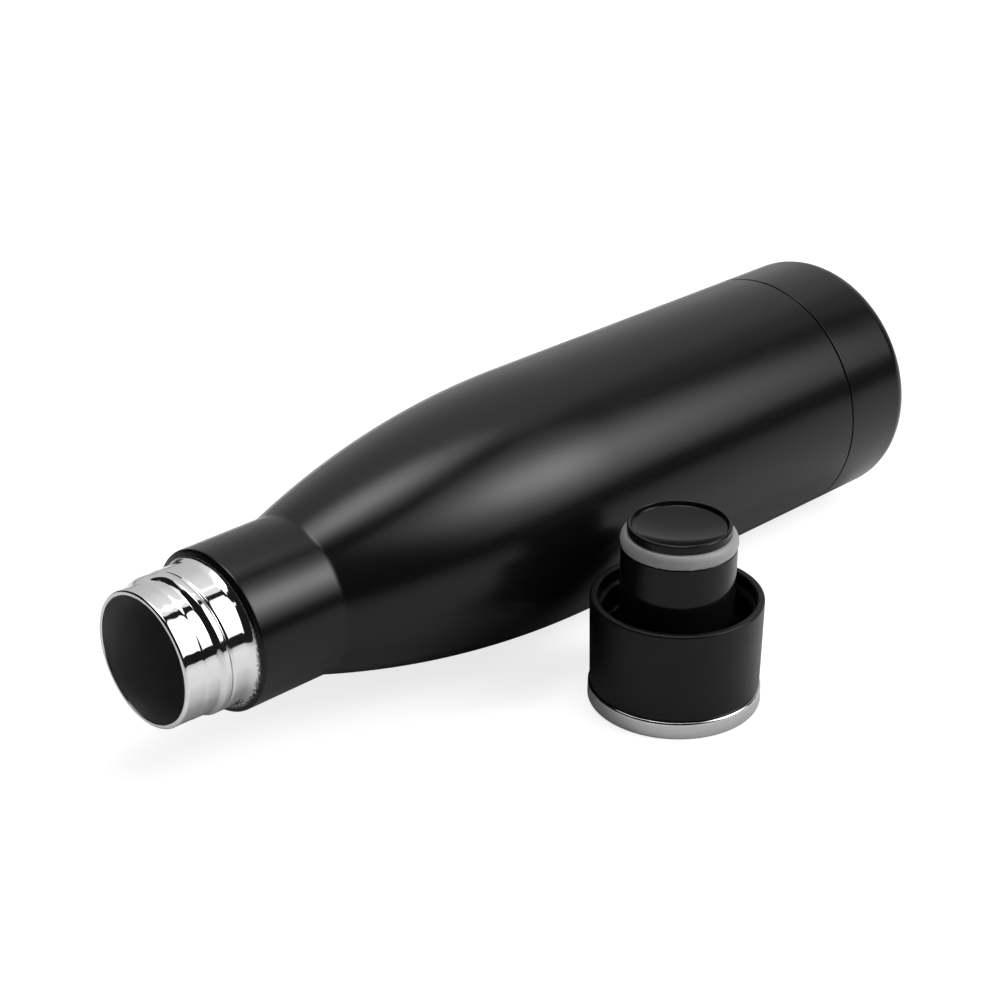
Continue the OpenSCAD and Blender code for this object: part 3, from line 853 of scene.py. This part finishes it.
def white_floor():
    """Matt white laminate: plain white to the eye, with the object's shadow on it; in reflections its colour carries
    painted shade near the object and a painted fall-off of light away from it.
    """
    _, _, _, studio = settings()
    finish = bpy.data.materials.new("Matt white laminate")
    tree = emptied(finish)
    # painted shade: close to the object the sheet's colour is darkened by ambient occlusion, standing for its shading
    # from the room's light
    near = node(tree, "ShaderNodeAmbientOcclusion", {"Color": (*studio.floor, 1), "Distance": 0.05}, samples=4)
    # painted fall-off of light: the sheet's colour darkens from 0.12 m to half a metre away, standing for the lamps
    # over the object lighting it less there
    away = node(tree, "ShaderNodeVectorMath", {0: place_of(tree)}, operation="LENGTH").outputs["Value"]
    lamp = node(tree, "ShaderNodeMapRange", {"Value": away, "From Min": 0.12, "From Max": 0.5,
                                             "To Min": 1.0, "To Max": 0.6}).outputs["Result"]
    painted_shade_colour = node(tree, "ShaderNodeVectorMath", {0: near.outputs["Color"], "Scale": lamp}, operation="SCALE")
    # reflections and bounced light see the sheet as this diffuse, with the painted shade and the painted fall-off in
    # its colour
    plain = node(tree, "ShaderNodeBsdfDiffuse", {"Color": painted_shade_colour.outputs[0]})
    # the even part keeps the sheet white, and the lit part on top of it shows the shadow
    even = node(tree, "ShaderNodeEmission", {"Color": (1, 1, 1, 1), "Strength": 0.78})
    lit = node(tree, "ShaderNodeBsdfDiffuse", {"Color": (0.35, 0.35, 0.35, 1)})
    seen = node(tree, "ShaderNodeAddShader", {0: even.outputs[0], 1: lit.outputs[0]})
    camera = node(tree, "ShaderNodeLightPath").outputs["Is Camera Ray"]
    mix = node(tree, "ShaderNodeMixShader", {0: camera, 1: plain.outputs[0], 2: seen.outputs[0]})
    node(tree, "ShaderNodeOutputMaterial", {"Surface": mix.outputs[0]})
    return finish


def set_piece(name, points, faces, finish, seen=True):
    """A piece of the studio; one that is not seen by the camera only shows in reflections."""
    mesh = bpy.data.meshes.new(name)
    mesh.from_pydata(points, [], faces)
    mesh.materials.append(finish)
    made = bpy.data.objects.new(name, mesh)
    bpy.context.scene.collection.objects.link(made)
    if not seen:
        made.visible_camera = made.visible_diffuse = made.visible_shadow = made.visible_volume_scatter = False
    return made


def direction(heading, rise):
    """Unit vector of a heading, from +Y towards +X, and a rise above the horizon, both in degrees."""
    h, r = math.radians(heading), math.radians(rise)
    return Vector((math.sin(h) * math.cos(r), math.cos(h) * math.cos(r), math.sin(r)))


def curved_wall(name, distance, headings, rises, finish):
    """A piece of the studio's curved wall between two headings and two rises, seen only in reflections."""
    columns, rows = 32, 16
    points, faces = [], []
    for j in range(rows + 1):
        for i in range(columns + 1):
            h = headings[0] + (headings[1] - headings[0]) * i / columns
            r = rises[0] + (rises[1] - rises[0]) * j / rows
            points.append(direction(h, r) * distance)
    for j in range(rows):
        for i in range(columns):
            a = j * (columns + 1) + i
            faces.append((a, a + 1, a + columns + 2, a + columns + 1))
    return set_piece(name, points, faces, finish, seen=False)


def softbox(name, heading, rise, distance, width, height, middle, edge, falloff):
    """A softbox that faces the object; its face is brightest in the middle and falls off towards its edge."""
    lamp = bpy.data.lights.new(name, "AREA")
    lamp.shape = "RECTANGLE"
    lamp.size, lamp.size_y = width, height
    lamp.energy = math.pi * width * height
    tree = emptied(lamp)
    on_face = node(tree, "ShaderNodeNewGeometry").outputs["Parametric"]
    away = node(tree, "ShaderNodeVectorMath", {0: on_face, 1: (0.5, 0.5, 0.0)}, operation="SUBTRACT").outputs[0]
    square = node(tree, "ShaderNodeVectorMath", {0: away, 1: away}, operation="DOT_PRODUCT").outputs["Value"]
    spread = node(tree, "ShaderNodeMath", {0: square, 1: -falloff}, operation="MULTIPLY").outputs[0]
    hot = node(tree, "ShaderNodeMath", {0: spread}, operation="EXPONENT").outputs[0]
    strength = node(tree, "ShaderNodeMapRange", {"Value": hot, "To Min": edge, "To Max": middle}).outputs["Result"]
    light = node(tree, "ShaderNodeEmission", {"Color": (1, 1, 1, 1), "Strength": strength})
    node(tree, "ShaderNodeOutputLight", {"Surface": light.outputs[0]})
    made = bpy.data.objects.new(name, lamp)
    place = direction(heading, rise) * distance
    made.location = place
    made.rotation_euler = (-place).to_track_quat("-Z", "Y").to_euler()
    bpy.context.scene.collection.objects.link(made)
    return made


class FLASK_OT_studio(bpy.types.Operator):
    """Make the floor, the lamps, the surroundings and the camera"""

    bl_idname = "flask.studio"
    bl_label = "Studio"

    def execute(self, context):
        _, _, _, studio = settings()
        scene = context.scene
        scene.view_settings.view_transform = "Standard"

        far = 12.0
        set_piece("Floor", [(-far, -far, 0), (far, -far, 0), (far, far, 0), (-far, far, 0)], [(0, 1, 2, 3)],
                  white_floor())
        softbox("Key_softbox", heading=143, rise=40, distance=1.2, width=0.96, height=1.12,
                middle=studio.key_light, edge=1.6, falloff=14.0)
        softbox("Top_softbox", heading=40, rise=83, distance=1.2, width=0.7, height=0.7,
                middle=studio.top_light, edge=1.5, falloff=7.5)
        # the room is dark, with a white sweep behind the object that brightens towards the ceiling
        curved_wall("Dark_room", 2.2, (0, 360), (-1, 90), glow("Dark room", 0.015))
        curved_wall("White_wall", 2.0, (0, 80), (-1, 38), glow("White wall", 0.65, 0.85))
        curved_wall("Side_wall", 2.0, (80, 101), (-1, 50), glow("Side wall", 0.45, 0.6))
        curved_wall("White_sweep", 2.0, (0, 88), (38, 57), glow("White sweep", 0.85, 1.15))
        curved_wall("White_ceiling", 1.3, (-60, 98), (54, 90), glow("White ceiling", 1.1, 1.4))

        world = bpy.data.worlds.new("Studio air")
        tree = emptied(world)
        fill = node(tree, "ShaderNodeBackground", {"Color": (1, 1, 1, 1), "Strength": studio.fill_light})
        white = node(tree, "ShaderNodeBackground", {"Color": (1, 1, 1, 1), "Strength": 1.0})
        mix = node(tree, "ShaderNodeMixShader", {0: background_rays(tree), 1: fill.outputs[0], 2: white.outputs[0]})
        node(tree, "ShaderNodeOutputWorld", {"Surface": mix.outputs[0]})
        scene.world = world

        data = bpy.data.cameras.new("Camera")
        data.lens, data.sensor_width, data.clip_start = studio.camera_lens, 36.0, 0.01
        camera = bpy.data.objects.new("Camera", data)
        camera.location = studio.camera_at
        camera.rotation_euler = (math.pi / 2 - studio.camera_pitch, 0, -studio.camera_heading)
        scene.collection.objects.link(camera)
        scene.camera = camera
        return {"FINISHED"}


# ---------------------------------------------------------------- panel and start

OPERATORS = (FLASK_OT_shell, FLASK_OT_liner, FLASK_OT_base_cup, FLASK_OT_vacuum_parts, FLASK_OT_cap,
             FLASK_OT_top_plate, FLASK_OT_stopper, FLASK_OT_seal_ring, FLASK_OT_studio)


class FLASK_PT_panel(bpy.types.Panel):
    """Sizes, finishes and pieces of the flask"""

    bl_idname = "FLASK_PT_panel"
    bl_label = "Vacuum Flask"
    bl_space_type = "VIEW_3D"
    bl_region_type = "UI"
    bl_category = "Flask"

    def draw(self, context):
        for group in settings():
            box = self.layout.box()
            for name in group.__annotations__:
                box.prop(group, name)
        for operator in OPERATORS:
            self.layout.operator(operator.bl_idname)


GROUPS = {"flask_sizes": FlaskSizes, "cap_sizes": CapSizes, "flask_finishes": Finishes, "flask_studio": Studio}
CLASSES = (*GROUPS.values(), *OPERATORS, FLASK_PT_panel)


def register():
    """Registers the classes and adds the settings to the scene."""
    for item in CLASSES:
        bpy.utils.register_class(item)
    for name, group in GROUPS.items():
        setattr(bpy.types.Scene, name, PointerProperty(type=group))


def unregister():
    """Removes the settings and the classes."""
    for name in GROUPS:
        delattr(bpy.types.Scene, name)
    for item in reversed(CLASSES):
        bpy.utils.unregister_class(item)


def main():
    """Builds the flask, its cap and the studio."""
    register()
    bpy.ops.flask.shell()
    bpy.ops.flask.liner()
    bpy.ops.flask.base_cup()
    bpy.ops.flask.vacuum_parts()
    bpy.ops.flask.cap()
    bpy.ops.flask.top_plate()
    bpy.ops.flask.stopper()
    bpy.ops.flask.seal_ring()
    bpy.ops.flask.studio()
    bpy.context.view_layer.update()


if __name__ == "__main__":
    main()
